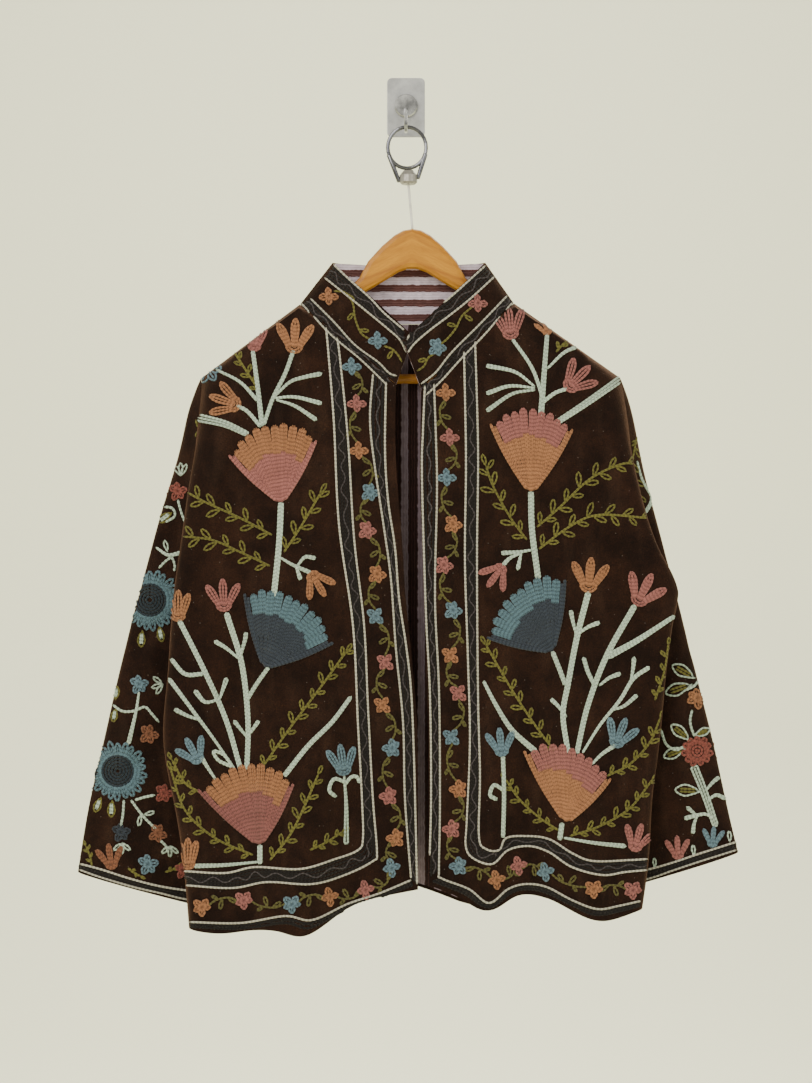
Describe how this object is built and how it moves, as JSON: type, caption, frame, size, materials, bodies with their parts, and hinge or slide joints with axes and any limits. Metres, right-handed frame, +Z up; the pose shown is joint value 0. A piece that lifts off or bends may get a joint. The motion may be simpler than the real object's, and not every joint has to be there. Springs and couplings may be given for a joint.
{
  "type": "embroidered coat on a wooden hanger with a wall hook",
  "caption": "Short open-fronted velvet coat with a stand collar and straight sleeves, on a wooden hanger that hangs by a ring from a flat wall hook.",
  "frame": {"origin": "centre of the wall plate's flat back, where it meets the wall", "axes": "+Z up, +Y into the wall, +X to the viewer's right as one faces the wall"},
  "size_m": [0.672, 0.0978, 0.867],
  "materials": {
    "velvet": "dark brown velvet",
    "collar": "dark brown velvet with charcoal bands",
    "stripe": "striped cotton",
    "wood": "honey lacquer",
    "steel": "polished",
    "plate": "cloudy grey, smooth"
  },
  "bodies": {
    "root": {"front_left": "velvet", "front_right": "velvet", "back": "velvet", "sleeve_left": "velvet", "sleeve_right": "velvet", "collar": "collar", "back_lining": "stripe", "collar_lining": "stripe", "hanger": "wood", "trouser_bar": "wood", "hanger_stem": "steel", "swivel_nut": "steel", "hang_ring": "steel", "hook_wire": "steel", "hook_base": "steel", "wall_plate": "plate"}
  },
  "joints": []
}
